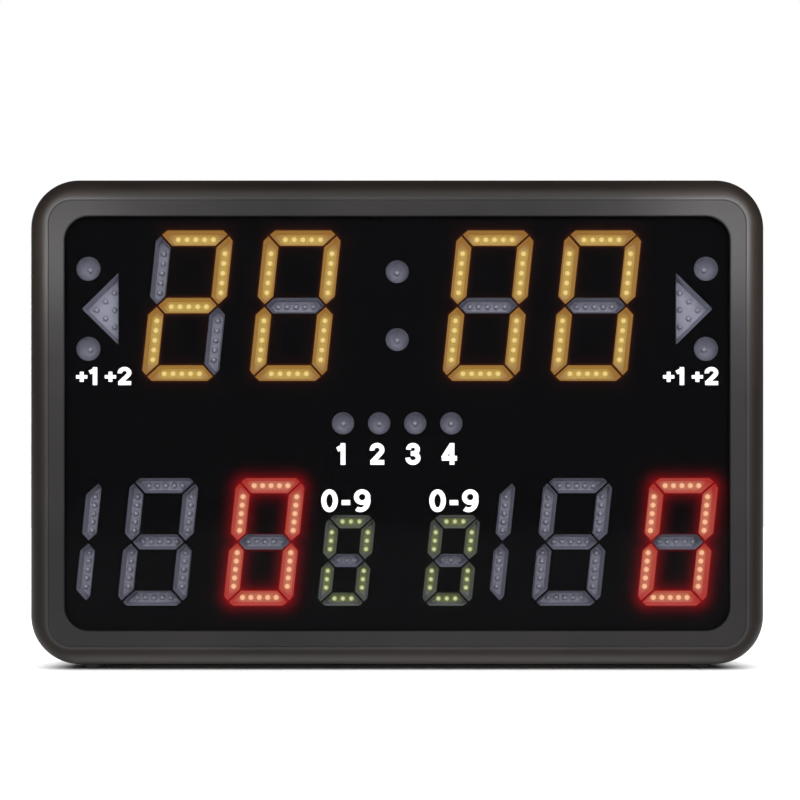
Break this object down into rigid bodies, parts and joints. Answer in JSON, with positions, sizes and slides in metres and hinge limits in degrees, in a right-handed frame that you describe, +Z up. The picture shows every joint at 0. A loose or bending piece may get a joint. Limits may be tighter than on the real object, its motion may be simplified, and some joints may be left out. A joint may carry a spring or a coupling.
{
  "type": "electronic scoreboard",
  "caption": "Indoor tabletop electronic scoreboard: landscape case with a windowed display of segmented digits, arrows and round lamps, folding rear legs and a carry handle.",
  "frame": {"origin": "middle of the footprint, on the surface that the feet stand on", "axes": "+X to the right as seen from the front, +Y from the display towards the back, +Z up"},
  "size_m": [0.6, 0.092, 0.4],
  "materials": {
    "front_case": "satin moulded plastic, very fine grain, near black with a brown cast",
    "rear_case": "moulded plastic with a spark-eroded grain",
    "lens": "clear polished acrylic sheet",
    "seal": "closed-cell foam",
    "mask": "flat black printed sheet with plain white numerals",
    "reflector": "bluish light grey moulded plastic",
    "display_board": "grey solder mask with clear diodes",
    "ribbon": "ribbed grey flat cable",
    "lead": "black insulation",
    "circuit_board": "green solder mask",
    "black_plastic": "black moulded plastic",
    "rocker": "glossy black moulded plastic",
    "handle": "satin black moulded plastic",
    "leg": "satin black moulded plastic",
    "rubber": "matt black rubber",
    "steel": "zinc-plated steel"
  },
  "bodies": {
    "root": {"timer_digit_1": "reflector", "timer_digit_2": "reflector", "timer_digit_3": "reflector", "timer_digit_4": "reflector", "home_hundreds": "reflector", "home_tens": "reflector", "home_units": "reflector", "home_fouls": "reflector", "guest_hundreds": "reflector", "guest_tens": "reflector", "guest_units": "reflector", "guest_fouls": "reflector", "colon_lamps": "reflector", "period_lamps": "reflector", "home_possession": "reflector", "guest_possession": "reflector", "timer_board": "display_board", "home_board": "display_board", "guest_board": "display_board", "timer_ribbon": "ribbon", "home_ribbon": "ribbon", "guest_ribbon": "ribbon", "power_lead": "lead", "controller_lead": "lead", "horn_lead": "lead", "front_bezel": "front_case", "rear_shell": "rear_case", "lens": "lens", "lens_gasket": "seal", "face_panel": "mask", "controller_board": "circuit_board", "horn": "black_plastic", "switch_housing": "black_plastic", "power_inlet": "black_plastic", "controller_socket": "black_plastic", "leg_pin_left": "steel", "leg_pin_right": "steel", "handle_pin_left": "steel", "handle_pin_right": "steel", "wall_plate_left": "steel", "wall_plate_right": "steel", "case_screw_1": "steel", "case_screw_2": "steel", "case_screw_3": "steel", "case_screw_4": "steel", "case_screw_5": "steel", "case_screw_6": "steel", "foot_front_left": "rubber", "foot_front_right": "rubber", "foot_rear_left": "rubber", "foot_rear_right": "rubber"},
    "leg_left": {"leg_left": "leg", "leg_tip_left": "rubber"},
    "leg_right": {"leg_right": "leg", "leg_tip_right": "rubber"},
    "handle": {"carry_handle": "handle"},
    "rocker": {"switch_rocker": "rocker"}
  },
  "joints": [
    {"name": "leg_left_fold", "type": "hinge", "parent": "root", "child": "leg_left", "pos_m": [-0.2, 0.039, 0.258], "axis": [1, 0, 0], "range_deg": [0, 30]},
    {"name": "leg_right_fold", "type": "hinge", "parent": "root", "child": "leg_right", "pos_m": [0.2, 0.039, 0.258], "axis": [1, 0, 0], "range_deg": [0, 30]},
    {"name": "handle_swing", "type": "hinge", "parent": "root", "child": "handle", "pos_m": [0, 0.0081, 0.3925], "axis": [1, 0, 0], "range_deg": [0, 90]},
    {"name": "rocker_tilt", "type": "hinge", "parent": "root", "child": "rocker", "pos_m": [-0.12, 0.0297, 0.062], "axis": [1, 0, 0], "range_deg": [0, 16]}
  ]
}
